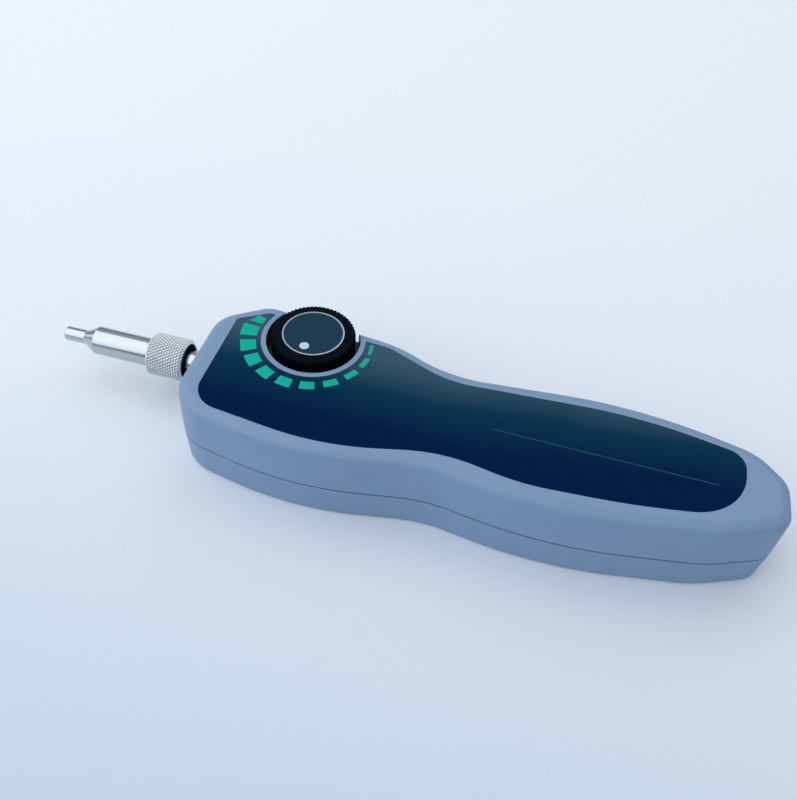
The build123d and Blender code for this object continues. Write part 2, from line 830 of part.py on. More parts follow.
def illumination_led():
    """Square lamp body with a domed lens."""
    near = chassis_near_y + lug_thickness + board_thickness
    x = splitter_x + splitter_side / 2
    height = (tip_z - led_half, tip_z + led_half)
    base = bar((x - led_half, x + led_half), (near, near + led_height), height)
    dome = Pos(x, near + led_height, tip_z) * Sphere(led_dome)
    return base + (dome & bar((x - led_half, x + led_half), (near, near + led_height + led_dome), height))


def sensor_board():
    """Upright board behind the sensor wall."""
    x = sensor_wall_x + sensor_wall
    span = (chassis_near_y + sensor_board_near, chassis_rear_far_y - sensor_board_far)
    return bar((x, x + board_thickness), span, (plate_top_z + sensor_board_gap, chassis_top_z - sensor_board_top))


def image_sensor():
    """Image sensor in the sensor wall's window."""
    x = sensor_wall_x + sensor_wall
    half = sensor_side / 2
    body = bar((x - sensor_thickness, x), (tip_y - half, tip_y + half), (tip_z - half, tip_z + half))
    face = x - sensor_thickness
    half = sensor_pane_half
    return body - bar((face, face + sensor_pane_depth), (tip_y - half, tip_y + half), (tip_z - half, tip_z + half))


def sensor_ribbon():
    """Flat ribbon from the sensor board down to the main board."""
    back_x = sensor_wall_x + sensor_wall + board_thickness
    foot_x = main_board_x + ribbon_foot
    top_z = tip_z + ribbon_rise
    points = [(back_x, top_z), (back_x, board_top_z), (foot_x, board_top_z)]
    outer = FilletPolyline(points, radius=ribbon_bend)
    inner = FilletPolyline(
        [
            (back_x + ribbon_thickness, top_z),
            (back_x + ribbon_thickness, board_top_z + ribbon_thickness),
            (foot_x, board_top_z + ribbon_thickness),
        ],
        radius=ribbon_bend - ribbon_thickness,
    )
    ends = [Line(outer @ 0, inner @ 0), Line(outer @ 1, inner @ 1)]
    face = make_face([Plane.XZ * piece for piece in (outer, inner, *ends)])
    return Pos(0, tip_y + ribbon_half, 0) * extrude(face, 2 * ribbon_half)


def main_board():
    """Long board in the handle with a narrow tongue under the cable socket."""
    height = (main_board_z, board_top_z)
    board = bar((main_board_x, tongue_x), (handle_y - main_board_half, handle_y + main_board_half), height)
    board += bar((tongue_x - 1, main_board_end_x), (handle_y - tongue_half, handle_y + tongue_half), height)
    for x, y in board_screw_places:
        board -= rod_z_axis(board_screw_radius + hole_clearance, 0, body_height, x, y)
    return board


def processor_chip():
    """Square chip with bevelled upper edges."""
    half = chip_side / 2
    top = board_top_z + chip_height
    chip = bar((chip_x - half, chip_x + half), (handle_y - half, handle_y + half), (board_top_z, top))
    return chamfer(level_edges(chip, top), 0.2 * chip_height)


def cable_socket():
    """Flat oval socket shell with its inner tongue."""
    plane = socket_plane(socket_face_x - socket_length)
    outer = RectangleRounded(2 * socket_half, socket_height, socket_height / 2 - 0.02)
    inner_height = socket_height - 2 * socket_wall
    inner = RectangleRounded(2 * (socket_half - socket_wall), inner_height, inner_height / 2 - 0.02)
    shell = extrude(plane * outer, socket_length) - extrude(plane.offset(1.0) * inner, socket_length)
    tongue = plane * Rectangle(2 * socket_tongue_half, socket_tongue)
    return shell + extrude(tongue, socket_length - socket_tongue_set_in)


def screw_pair(head, head_height, shank, seat_z, end_z, places):
    """Pan-head screws at several places; they point up where their ends lie above their seats."""
    way = 1 if end_z > seat_z else -1
    screws = []
    for x, y in places:
        screw = rod_z_axis(head, *sorted((seat_z, seat_z - way * head_height)), x, y)
        screws.append(screw + rod_z_axis(shank, *sorted((seat_z, end_z)), x, y))
    return screws


def case_screws():
    """Screws with a cross recess that draw the two shells together from below."""
    screws = []
    low = case_screw_seat_z - case_screw_head_height
    depth = (low, low + recess_depth)
    for place, screw in zip(
        case_screw_places,
        screw_pair(
            case_screw_head, case_screw_head_height, case_screw_radius,
            case_screw_seat_z, case_screw_tip_z, case_screw_places,
        ),
    ):
        x, y = place
        screw -= bar((x - recess_reach, x + recess_reach), (y - recess_half, y + recess_half), depth)
        screws.append(screw - bar((x - recess_half, x + recess_half), (y - recess_reach, y + recess_reach), depth))
    return Compound(children=screws)


def chassis_screws():
    """Screws that hold the chassis on its pads."""
    size = (chassis_screw_head, chassis_screw_head_height, chassis_screw_radius)
    return Compound(children=screw_pair(*size, plate_top_z, chassis_screw_tip_z, chassis_screw_places))


def board_screws():
    """Screws that hold the main board on its posts."""
    size = (board_screw_head, board_screw_head_height, board_screw_radius)
    return Compound(children=screw_pair(*size, board_top_z, board_screw_tip_z, board_screw_places))


def nut_rear_x():
    """The nut's open rear end."""
    return nut_front_x + nut_length


def flange_front_x():
    """Front of the tip's flange, just behind the nut's lip."""
    return nut_front_x + nut_lip + axial_clearance


def collar_front_x():
    """Front of the barrel's threaded collar, behind the tip's flange."""
    return flange_front_x() + tip_flange + axial_clearance


def inspection_tip():
    """Stepped sleeve with a slim nose that takes a ferrule."""
    rear = flange_front_x() + tip_flange
    flange = nut_bore_radius - thread_clearance
    nose_root = nose_end_x + nose_length
    sleeve_x = nose_root + taper_length
    round_off = 0.3
    socket_x = collar_front_x() - spigot_length - axial_clearance
    profile = [
        (nose_end_x, ferrule_radius + 0.25),
        (nose_end_x, nose_radius - round_off),
        (nose_end_x + round_off, nose_radius),
        (nose_root, nose_radius),
        (sleeve_x, sleeve_radius),
        (flange_front_x(), sleeve_radius),
        (flange_front_x(), flange),
        (rear, flange),
        (rear, barrel_radius + socket_clearance),
        (socket_x, barrel_radius + socket_clearance),
        (socket_x, barrel_bore),
        (sleeve_x + 4, barrel_bore),
        (sleeve_x + 3, light_radius),
        (nose_root, light_radius),
        (nose_root - 0.5 + 0.5 * aperture_radius, aperture_radius),
        (nose_end_x + ferrule_depth, aperture_radius),
        (nose_end_x + ferrule_depth, ferrule_radius),
        (nose_end_x + 0.25, ferrule_radius),
    ]
    return turned_x(profile)


def coupling_nut():
    """Open-backed nut that holds the tip's flange against the barrel's collar."""
    rear = nut_rear_x()
    lip_hole = sleeve_radius + nut_lip_clearance
    profile = [
        (nut_front_x, lip_hole),
        (nut_front_x, nut_radius - nut_bevel),
        (nut_front_x + nut_bevel, nut_radius),
        (rear - nut_bevel, nut_radius),
        (rear, nut_radius - nut_bevel),
        (rear, nut_bore_radius + 0.2),
        (rear - 0.2, nut_bore_radius),
        (nut_front_x + nut_lip, nut_bore_radius),
        (nut_front_x + nut_lip, lip_hole),
    ]
    return turned_x(profile)


def optical_barrel():
    """Steel tube from the chassis through the nose, with the nut's collar and the tip's spigot."""
    collar = nut_bore_radius - thread_clearance
    spigot_x = collar_front_x() - spigot_length
    inner_flange_x = front_x + wall + 0.3
    end_x = front_wall_x + front_wall
    profile = [
        (spigot_x, barrel_bore),
        (spigot_x, barrel_radius - 0.3),
        (spigot_x + 0.3, barrel_radius),
        (collar_front_x(), barrel_radius),
        (collar_front_x(), collar),
        (collar_front_x() + barrel_collar, collar),
        (collar_front_x() + barrel_collar, barrel_radius),
        (inner_flange_x, barrel_radius),
        (inner_flange_x, barrel_radius + 1.7),
        (front_wall_x, barrel_radius + 1.7),
        (front_wall_x, barrel_radius),
        (end_x, barrel_radius),
        (end_x, barrel_bore),
    ]
    return turned_x(profile)


def nose_gasket():
    """Rubber ring on the nose, with a sleeve in the hole round the barrel."""
    inner = barrel_radius + socket_clearance
    sleeve = barrel_radius + nose_hole_gap - socket_clearance
    profile = [
        (front_x - gasket_proud, inner),
        (front_x - gasket_proud, gasket_radius - 0.2),
        (front_x - gasket_proud + 0.2, gasket_radius),
        (front_x, gasket_radius),
        (front_x, sleeve),
        (front_x + wall - 0.2, sleeve),
        (front_x + wall - 0.2, inner),
    ]
    return turned_x(profile)


outer_form = casing_block()
pieces = {
    "lower_shell": lower_shell(outer_form),
    "upper_shell": upper_shell(outer_form),
    "front_panel": front_panel(),
    "focus_knob": focus_knob(),
    "knob_cap": knob_cap(),
    "knob_trim_ring": knob_trim_ring(),
    "pointer_dot": dot_bar(dot_radius, cap_low_z + cap_thickness),
    "knob_screw": knob_screw(),
    "focus_shaft": focus_shaft(),
    "shaft_bush": shaft_bush(),
    "friction_ring": friction_ring(),
    "shaft_clip": shaft_clip(),
    "focus_pinion": focus_pinion(),
    "focus_rack": focus_rack(),
    "lens_carriage": lens_carriage(),
    "objective_front_lens": objective_front_lens(),
    "objective_rear_lens": objective_rear_lens(),
    "lens_retainer": lens_retainer(),
    "guide_rods": guide_rods(),
    "optical_chassis": optical_chassis(),
    "chassis_screws": chassis_screws(),
    "tube_lens": tube_lens(),
    "beam_splitter": beam_splitter(),
    "led_board": led_board(),
    "illumination_led": illumination_led(),
    "sensor_board": sensor_board(),
    "image_sensor": image_sensor(),
    "sensor_ribbon": sensor_ribbon(),
    "main_board": main_board(),
    "board_screws": board_screws(),
    "processor_chip": processor_chip(),
    "cable_socket": cable_socket(),
    "case_screws": case_screws(),
    "optical_barrel": optical_barrel(),
    "nose_gasket": nose_gasket(),
    "inspection_tip": inspection_tip(),
    "coupling_nut": coupling_nut(),
}

os.makedirs("parts", exist_ok=True)
for node, solid in pieces.items():
    export_step(solid, f"parts/{node}.step")
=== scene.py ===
import math

import bpy
import numpy as np
from mathutils import Matrix, Vector


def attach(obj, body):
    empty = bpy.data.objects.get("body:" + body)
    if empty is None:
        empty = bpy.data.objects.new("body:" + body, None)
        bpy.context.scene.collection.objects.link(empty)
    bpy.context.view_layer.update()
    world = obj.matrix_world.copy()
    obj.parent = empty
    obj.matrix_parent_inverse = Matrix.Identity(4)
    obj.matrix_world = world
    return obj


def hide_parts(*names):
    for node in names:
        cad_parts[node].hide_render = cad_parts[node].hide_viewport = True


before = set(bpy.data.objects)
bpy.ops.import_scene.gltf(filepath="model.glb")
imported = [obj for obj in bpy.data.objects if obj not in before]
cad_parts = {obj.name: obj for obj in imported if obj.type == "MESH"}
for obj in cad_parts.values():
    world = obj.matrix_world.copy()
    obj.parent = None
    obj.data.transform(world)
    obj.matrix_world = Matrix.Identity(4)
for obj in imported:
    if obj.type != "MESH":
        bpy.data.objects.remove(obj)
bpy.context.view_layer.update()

# The casing: two shells injection moulded in blue-grey plastic with a fine spark-eroded texture. They close
# on a lip at the parting line and are drawn together by four screws from below. The dark hairline along the
# parting line is painted shade, for the shade in the gap between the shells. The knob's well is coloured
# near-black inside.
MM = 0.001


def ink(red, green, blue):
    """Linear colour of a screen colour: each channel from 0 to 255 goes through the sRGB curve."""
    channels = []
    for value in (red, green, blue):
        part = value / 255
        channels.append(part / 12.92 if part <= 0.04045 else ((part + 0.055) / 1.055) ** 2.4)
    return (*channels, 1.0)


class Shade:
    """A shader socket that takes part in plain arithmetic; each operator adds its Math node."""

    def __init__(self, tree, socket):
        self.tree = tree
        self.socket = socket

    def work(self, operation, *values):
        """Adds one Math node that works on the values, which are numbers or other shades."""
        node = self.tree.nodes.new("ShaderNodeMath")
        node.operation = operation
        for slot, value in zip(node.inputs, values):
            connect(self.tree, slot, value)
        return Shade(self.tree, node.outputs[0])

    def __add__(self, other):
        return self.work("ADD", self, other)

    def __radd__(self, other):
        return self.work("ADD", other, self)

    def __sub__(self, other):
        return self.work("SUBTRACT", self, other)

    def __rsub__(self, other):
        return self.work("SUBTRACT", other, self)

    def __mul__(self, other):
        return self.work("MULTIPLY", self, other)

    def __rmul__(self, other):
        return self.work("MULTIPLY", other, self)

    def __truediv__(self, other):
        return self.work("DIVIDE", self, other)

    def __rtruediv__(self, other):
        return self.work("DIVIDE", other, self)

    def __lt__(self, other):
        return self.work("LESS_THAN", self, other)

    def __gt__(self, other):
        return self.work("GREATER_THAN", self, other)

    def __abs__(self):
        return self.work("ABSOLUTE", self)

    def clamp(self):
        """The value, held between 0 and 1."""
        return self.work("MINIMUM", self.work("MAXIMUM", self, 0.0), 1.0)


def connect(tree, slot, value):
    """Links a Shade to a socket, or sets the socket's own value."""
    if isinstance(value, Shade):
        tree.links.new(value.socket, slot)
    else:
        slot.default_value = value


class Wiring:
    """A node tree under making: put() adds any node, and blend() mixes two colours."""

    def __init__(self, tree):
        self.tree = tree

    def put(self, kind, settings=None, out=0, **sockets):
        """Adds a node and returns one output: settings come first, then sockets, by name or as i0, i1."""
        node = self.tree.nodes.new(kind)
        for name, value in (settings or {}).items():
            if name == "stops":
                ramp = node.color_ramp
                while len(ramp.elements) < len(value):
                    ramp.elements.new(1.0)
                for element, (position, colour) in zip(ramp.elements, value):
                    element.position = position
                    element.color = colour
            else:
                setattr(node, name, value)
        for name, value in sockets.items():
            numbered = name[0] == "i" and name[1:].isdigit()
            key = int(name[1:]) if numbered else name.replace("_", " ")
            connect(self.tree, node.inputs[key], value)
        return Shade(self.tree, node.outputs[out])

    def blend(self, share, first, second):
        """Colour that goes from first to second as share goes from 0 to 1."""
        return self.put("ShaderNodeMix", {"data_type": "RGBA"}, out=2, i0=share, i6=first, i7=second)


class Finish(Wiring):
    """A node material: one Principled shader, whose sockets are set or linked by set()."""

    def __init__(self, name, **sockets):
        self.material = bpy.data.materials.new(name)
        self.material.use_nodes = True
        super().__init__(self.material.node_tree)
        self.tree.nodes.clear()
        output = self.tree.nodes.new("ShaderNodeOutputMaterial")
        self.shader = self.tree.nodes.new("ShaderNodeBsdfPrincipled")
        self.tree.links.new(self.shader.outputs[0], output.inputs[0])
        self.place = self.put("ShaderNodeTexCoord", out="Object")
        self.set(**sockets)

    def set(self, **sockets):
        """Sets or links sockets of the shader, with _ for each space in a name."""
        for name, value in sockets.items():
            connect(self.tree, self.shader.inputs[name.replace("_", " ")], value)

    def along(self, axis):
        """Place along X, Y or Z in metres."""
        return self.put("ShaderNodeSeparateXYZ", out=axis, Vector=self.place)

    def reach(self, centre_mm, across):
        """Distance in metres from a line through centre_mm; across has a 1 for each axis square to it."""
        centre = tuple(part * MM for part in centre_mm)
        kind = "ShaderNodeVectorMath"
        offset = self.put(kind, {"operation": "SUBTRACT"}, i0=self.place, i1=centre)
        flat = self.put(kind, {"operation": "MULTIPLY"}, i0=offset, i1=across)
        return self.put(kind, {"operation": "LENGTH"}, "Value", i0=flat)

    def noise(self, grain_mm, detail=2.0, stretch=(1, 1, 1)):
        """Soft noise from 0 to 1 whose lumps are about grain_mm across, stretched by axis."""
        scale = tuple(1.0 / (grain_mm * MM * part) for part in stretch)
        point = self.put("ShaderNodeVectorMath", {"operation": "MULTIPLY"}, i0=self.place, i1=scale)
        return self.put("ShaderNodeTexNoise", Vector=point, Scale=1.0, Detail=detail)

    def relief(self, height, depth_mm, strength=1.0):
        """Bumps the surface by a height from 0 to 1 that stands for depth_mm."""
        depth = depth_mm * MM
        self.set(Normal=self.put("ShaderNodeBump", Height=height, Strength=strength, Distance=depth))


def texture(finish, rough, grain_mm, depth_mm):
    """Moulded surface: gloss that wanders a little round rough, and a fine grain that stands depth_mm
    high. Returns the wide mottle and the grain, both from 0 to 1."""
    mottle = finish.noise(mottle_lump, 3.0)
    grain = finish.noise(grain_mm)
    finish.set(Roughness=rough + (grain - 0.5) * gloss_by_grain + (mottle - 0.5) * gloss_by_mottle)
    finish.relief(grain, depth_mm)
    return mottle, grain


def dress(material, *names):
    """Gives CAD nodes their finish."""
    for name in names:
        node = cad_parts[name]
        if not node.material_slots:
            node.data.materials.append(material)
        for slot in node.material_slots:
            slot.material = material


mottle_lump = 9.0
gloss_by_grain = 0.12
gloss_by_mottle = 0.06
knob_middle = np.array([-28.2, 13.8])
panel_top = 25.5
well_radius = 13.4
well_depth = 5.3
wall_skin = 0.06  # the black goes this far into the plastic of the well's wall
rim_edge = 0.12  # and starts this far below the top
parting_height = 11.0
seam_shade_half = 0.28
seam_shade_strength = 1.3

casing = Finish("casing plastic", Specular_IOR_Level=0.5)
mottle, grain = texture(casing, 0.50, 0.30, 0.012)
plastic = casing.blend(mottle, ink(117, 147, 178), ink(125, 154, 186))
height = casing.along("Z")
# Painted shade: a dark hairline along the parting line, for the shade in the gap between the shells.
seam_shade = ((1.0 - abs(height - parting_height * MM) / (seam_shade_half * MM)) * seam_shade_strength).clamp()
shell = casing.blend(seam_shade, plastic, ink(26, 36, 60))
# The wall of the knob's well is coloured near-black, from just under its rim down to the well's floor.
inside = casing.reach((*knob_middle, 0), (1, 1, 0)) < (well_radius + wall_skin) * MM
below = height < (panel_top - rim_edge) * MM
above = height > (panel_top - well_depth) * MM
casing.set(Base_Color=casing.blend(inside * below * above, shell, ink(12, 15, 20)))
dress(casing.material, "lower_shell", "upper_shell")

# The front panel: a printed polycarbonate overlay in dark blue, stuck into a shallow recess of the upper
# shell and cut out round the knob's rim. Towards its far side a painted reflection turns it teal and slate.
reflection_span = 26.0  # the painted reflection grows from nothing to full over this much of Y
reflection_fade_start = 15.0  # and fades along the handle from here
reflection_fade_span = 65.0
reflection_fade_share = 0.28
reflection_cloud_lump = 30.0
reflection_cloud_share = 0.25
film_rough = 0.38
film_rough_swing = 0.08

# Painted reflection: the film goes from navy through teal to slate towards its far side, fades along the
# handle and is clouded by noise.
panel = Finish("panel film", Specular_IOR_Level=0.02)
reflection_fade = ((panel.along("X") - reflection_fade_start * MM) / (reflection_fade_span * MM)).clamp() * reflection_fade_share
cloud = (panel.noise(reflection_cloud_lump) - 0.5) * reflection_cloud_share
painted_reflection = (panel.along("Y") / (reflection_span * MM) - reflection_fade + 0.5 + cloud).clamp()
deep = panel.blend((painted_reflection * 2.0).clamp(), ink(0, 28, 68), ink(5, 53, 76))
panel.set(Base_Color=panel.blend((painted_reflection * 2.0 - 1.0).clamp(), deep, ink(60, 88, 106)))
panel.set(Roughness=film_rough + (panel.noise(0.5) - 0.5) * film_rough_swing)
panel.relief(panel.noise(0.8, 1.0), 0.004)
dress(panel.material, "front_panel")


# The print on the panel: eleven green blocks in an arc round the knob, which grow towards the nose, and one
# thin rule along the handle. Both are screen printed, a few hundredths of a millimetre thick.
def surface(name, grids, wrap_rows=False, wrap_columns=False, smooth=True):
    """Mesh from grids of points in millimetres, each rows by columns by xyz, one quad for each cell."""
    faces = []
    start = 0
    for grid in grids:
        rows, columns = grid.shape[:2]
        row = np.arange(rows if wrap_rows else rows - 1)[:, None]
        column = np.arange(columns if wrap_columns else columns - 1)[None, :]
        next_row, next_column = (row + 1) % rows, (column + 1) % columns
        corners = [row * columns + column, row * columns + next_column]
        corners += [next_row * columns + next_column, next_row * columns + column]
        faces.append(start + np.stack(corners, axis=-1).reshape(-1, 4))
        start += rows * columns
    mesh = bpy.data.meshes.new(name)
    points = np.concatenate([grid.reshape(-1, 3) for grid in grids])
    mesh.from_pydata((points * MM).tolist(), [], np.concatenate(faces).tolist())
    mesh.polygons.foreach_set("use_smooth", np.full(len(mesh.polygons), smooth))
    piece = bpy.data.objects.new(name, mesh)
    bpy.context.scene.collection.objects.link(piece)
    return piece


def film(inner, outer):
    """Grid of a thin closed slab between two curves of plan points: round its section, which runs
    inner top, outer top, outer foot, inner foot, and along the curves, with both ends drawn to a point."""
    low, high = panel_top - ink_height, panel_top + ink_height
    section = ((inner, high), (outer, high), (outer, low), (inner, low))
    lines = [np.column_stack([curve, np.full(len(curve), level)]) for curve, level in section]
    grid = np.stack(lines, axis=1)
    first, last = (np.repeat(grid[end].mean(axis=0)[None, None], len(section), axis=1) for end in (0, -1))
    return np.concatenate([first, grid, last])


def moulded(name, colour, second, rough, grain_mm, depth_mm, **sockets):
    """Moulded plastic or cured ink: a faint mottle between two colours on a grained surface."""
    finish = Finish(name, **sockets)
    mottle, grain = texture(finish, rough, grain_mm, depth_mm)
    share = (mottle * mottle_share + grain * (1 - mottle_share)).clamp()
    finish.set(Base_Color=finish.blend(share, ink(*colour), ink(*second)))
    return finish.material


mottle_share = 0.8
ink_height = 0.03
curve_points = 9
arc_middle = knob_middle + (0.2, -0.57)
block_inner = 16.1
block_half = 6.6
widest_reach = 4.87
reach_step = 0.43
block_turns = (185.0, 203.7, 222.3, 241.7, 262.0, 282.9, 304.1, 325.6, 345.4, 363.8)

# Each mark is its middle turn and half its width, both in degrees, and how far it reaches outwards at its
# two ends. The panel's edge cuts the first one short.
block_marks = [(169.6, 4.4, 2.6, 4.0)]
for count, middle in enumerate(block_turns):
    block_reach = widest_reach - reach_step * count
    block_marks.append((middle, block_half, block_reach, block_reach))
blocks = []
for middle, half, first_reach, last_reach in block_marks:
    turn = np.radians(np.linspace(middle - half, middle + half, curve_points))
    ray = np.column_stack([np.cos(turn), np.sin(turn)])
    outer_radius = block_inner + np.linspace(first_reach, last_reach, curve_points)[:, None]
    blocks.append(film(arc_middle + ray * block_inner, arc_middle + ray * outer_radius))
dial_print = surface("dial_print", blocks, wrap_columns=True, smooth=False)

rule_start = (27.0, -3.75)
rule_end = (84.8, -4.6)
rule_half = 0.09
rule_line = np.linspace(rule_start, rule_end, curve_points)
rule_sides = [rule_line + (0, side * rule_half) for side in (1, -1)]
rule_print = surface("rule_print", [film(*rule_sides)], wrap_columns=True, smooth=False)

for piece, name, first, second in (
    (dial_print, "green ink", (0, 170, 147), (4, 182, 158)),
    (rule_print, "teal ink", (30, 92, 104), (40, 104, 114)),
):
    cured = moulded(name, first, second, 0.45, 0.25, 0.003, Specular_IOR_Level=0.1)
    piece.data.materials.append(cured)
    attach(piece, "housing")


# The focus knob: moulded black, 60 ridges round its grip that run out over the rounded shoulder, hollow
# below, with a plate and a boss that the shaft's screw draws down.
def turned(name, profile, columns, centre, axis, cut):
    """Closed body of revolution: a closed loop of (radius, place along the axis) carried round an axis.
    cut gives, for radius, place and turn, how far the radius is cut back."""
    turn = np.linspace(0, 2 * np.pi, columns, endpoint=False)[None, :]
    radius = np.repeat(profile[:, :1], columns, axis=1)
    place = np.repeat(profile[:, 1:2], columns, axis=1)
    radius = radius - cut(radius, place, turn)
    across = centre[0] + radius * np.cos(turn)
    up = centre[1] + radius * np.sin(turn)
    points = (across, up, place) if axis == "z" else (place, across, up)
    return surface(name, [np.stack(points, axis=-1)], wrap_rows=True, wrap_columns=True)


def outline(*runs):
    """Closed profile from runs of points: (start, end, count) for a straight line, or
    (middle, radius, first angle, last angle, count) for an arc."""
    points = []
    for run in runs:
        if len(run) == 3:
            points.append(np.linspace(*run))
        else:
            middle, radius, first, last, count = run
            angle = np.radians(np.linspace(first, last, count))
            points.append(middle + radius * np.column_stack([np.cos(angle), np.sin(angle)]))
    return np.concatenate(points)


knob_radius = 11.95
knob_top = 27.6
knob_low = 21.2
crown = 0.15
shoulder = 0.7
lip_radius = 9.5
seat_radius = 8.85
seat_height = 27.0
skirt_bore = 10.7
plate_low = 25.0
boss_radius = 3.6
boss_low = 21.0
screw_head_radius = 1.85
screw_head_low = 25.9
screw_radius = 0.85
shaft_bore = 1.52
shaft_top = 24.7
ease = 0.05  # how far the points beside a corner stand from it
wide_ease = 0.1
fine_ease = 0.02
edge_radius = knob_radius - shoulder
edge_height = knob_top - crown - shoulder
knob_profile = outline(
    ((skirt_bore, knob_low), (knob_radius - 0.5, knob_low), 3),
    ((knob_radius - 0.3, knob_low + 0.06), (knob_radius, knob_low + 0.4), 4),
    ((knob_radius, knob_low + 0.6), (knob_radius, edge_height - wide_ease), 14),
    ((edge_radius, edge_height), shoulder, 0, 86, 10),
    ((edge_radius - 0.2, knob_top - crown + 0.01), (lip_radius + 0.12, knob_top - 0.09), 8),
    ((lip_radius + ease, knob_top - 0.07), (lip_radius, knob_top - fine_ease), 2),
    ((lip_radius - 0.08, knob_top), (seat_radius + wide_ease, knob_top), 3),
    ((seat_radius, knob_top - wide_ease), (seat_radius, seat_height + ease), 3),
    ((seat_radius - ease, seat_height), (screw_head_radius + ease, seat_height), 6),
    ((screw_head_radius, seat_height - ease), (screw_head_radius, screw_head_low + ease), 2),
    ((screw_head_radius - ease, screw_head_low), (screw_radius + fine_ease, screw_head_low), 2),
    ((screw_radius, screw_head_low - ease), (screw_radius, shaft_top + ease), 2),
    ((screw_radius + fine_ease, shaft_top), (shaft_bore - fine_ease, shaft_top), 2),
    ((shaft_bore, shaft_top - ease), (shaft_bore, boss_low + ease), 2),
    ((shaft_bore + 2 * fine_ease, boss_low), (boss_radius - wide_ease, boss_low), 2),
    ((boss_radius, boss_low + wide_ease), (boss_radius, plate_low - wide_ease), 3),
    ((boss_radius + wide_ease, plate_low), (skirt_bore - wide_ease, plate_low), 4),
    ((skirt_bore, plate_low - wide_ease), (skirt_bore, knob_low + wide_ease), 3),
)

ridge_count = 60
ridge_columns = 10
ridge_depth = 0.45
ridge_sharpness = 1.4
ridge_low = knob_low + 0.3
fade_inner = knob_radius - 0.75
fade_width = 0.55


def ridges(radius, height, turn):
    """Valleys between the ridges: a rounded wave round the turn, full on the grip, fading inwards."""
    wave = 0.5 - 0.5 * np.cos(turn * ridge_count)
    grip = np.clip((radius - fade_inner) / fade_width, 0, 1) * (height > ridge_low)
    return ridge_depth * (1 - wave**ridge_sharpness) * grip


knob_grip = turned("knob_grip", knob_profile, ridge_count * ridge_columns, knob_middle, "z", ridges)
black = moulded("knob plastic", (2, 9, 17), (5, 14, 25), 0.42, 0.35, 0.010, Specular_IOR_Level=0.03)
knob_grip.data.materials.append(black)
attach(knob_grip, "focus_drive")
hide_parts("focus_knob")

# The knob's cap: a moulded disc in satin slate, pressed into the seat in the knob's top, with a white
# pointer dot let into it and a narrow ring of bright plated metal round it.
slate = moulded("cap plastic", (14, 50, 72), (20, 58, 80), 0.45, 0.22, 0.006, Specular_IOR_Level=0.10)
dress(slate, "knob_cap")
dress(moulded("pointer white", (190, 208, 228), (198, 215, 234), 0.40, 0.30, 0.004), "pointer_dot")

streak_stretch = 400.0
streak_share = 0.6
streak_strength = 0.6
metal_cloud = 6.0
gloss_by_streak = 0.10
gloss_by_cloud = 0.06


def metal(name, colour, second, rough, lines_mm, axis, depth_mm=0.003):
    """Turned or ground metal: fine lines across one axis, with streaks in colour and gloss."""
    finish = Finish(name, Metallic=1.0)
    stretch = [1.0 if letter == axis else streak_stretch for letter in "xyz"]
    lines = finish.noise(lines_mm, 3.0, stretch)
    cloud = finish.noise(metal_cloud)
    share = (lines * streak_share + cloud * (1 - streak_share)).clamp()
    finish.set(Base_Color=finish.blend(share, ink(*colour), ink(*second)))
    finish.set(Roughness=rough + (lines - 0.5) * gloss_by_streak + (cloud - 0.5) * gloss_by_cloud)
    finish.relief(lines, depth_mm, streak_strength)
    return finish.material


dress(metal("ring chrome", (150, 164, 174), (172, 184, 193), 0.28, 0.05, "z", 0.001), "knob_trim_ring")

# The focus drive under the knob: a ground steel shaft in a flanged brass bush, kept up by a spring clip,
# with a fibre washer for the knob's friction and a brass pinion at its foot that moves the rack. The
# screws through the whole probe are plain steel too.
dress(
    metal("ground steel", (176, 180, 186), (200, 204, 210), 0.26, 0.06, "z"),
    "focus_shaft",
    "shaft_clip",
    "knob_screw",
    "chassis_screws",
    "board_screws",
    "case_screws",
)
dress(
    metal("brass", (196, 160, 84), (214, 180, 104), 0.28, 0.08, "z"),
    "shaft_bush",
    "focus_pinion",
    "focus_rack",
)
dress(moulded("fibre washer", (112, 50, 38), (134, 62, 46), 0.7, 0.20, 0.02), "friction_ring")

# The lens carriage: black anodised aluminium on two ground rods, with two lenses, of which a threaded ring
# holds the front one, and the machined chassis with its fixed lens and its splitter of two prisms.
dress(metal("rod steel", (186, 190, 196), (206, 210, 216), 0.18, 0.06, "x"), "guide_rods")
dress(
    metal("black anodised", (30, 31, 34), (40, 41, 45), 0.42, 0.10, "x", 0.002),
    "lens_carriage",
    "lens_retainer",
)
aluminium = metal("machined aluminium", (168, 172, 178), (188, 192, 198), 0.34, 0.12, "x", 0.004)
dress(aluminium, "optical_chassis")


def glass(name, colour, second):
    """Coated glass: clear, with a faint tint that drifts over the coating from one colour to the other."""
    finish = Finish(name, Transmission_Weight=1.0, IOR=1.52)
    drift = finish.noise(3.0)
    finish.set(Base_Color=finish.blend(drift, ink(*colour), ink(*second)))
    finish.set(Roughness=0.02 + drift * 0.02)
    return finish.material


dress(
    glass("lens glass", (205, 226, 236), (236, 244, 250)),
    "objective_front_lens",
    "objective_rear_lens",
    "tube_lens",
    "beam_splitter",
)

# The boards: green solder mask with chips in black epoxy, a lamp in pale resin, and an amber film ribbon
# that takes the sensor's signal down to the long board in the handle.
dress(
    moulded("solder mask", (16, 96, 56), (22, 112, 66), 0.36, 0.6, 0.01),
    "main_board",
    "sensor_board",
    "led_board",
)
epoxy = moulded("chip epoxy", (26, 26, 29), (36, 36, 40), 0.55, 0.15, 0.01)
dress(epoxy, "processor_chip", "image_sensor")
dress(moulded("lamp resin", (236, 232, 196), (246, 242, 214), 0.2, 0.5, 0.002), "illumination_led")
dress(moulded("ribbon film", (176, 104, 36), (196, 122, 48), 0.4, 0.4, 0.004), "sensor_ribbon")

# The cable socket in the butt end: a flat oval shell of drawn steel with a tongue inside. It is seated on
# the narrow end of the long board, behind a rounded slot in the casing.
dress(metal("socket steel", (178, 182, 188), (200, 204, 210), 0.3, 0.08, "x"), "cable_socket")

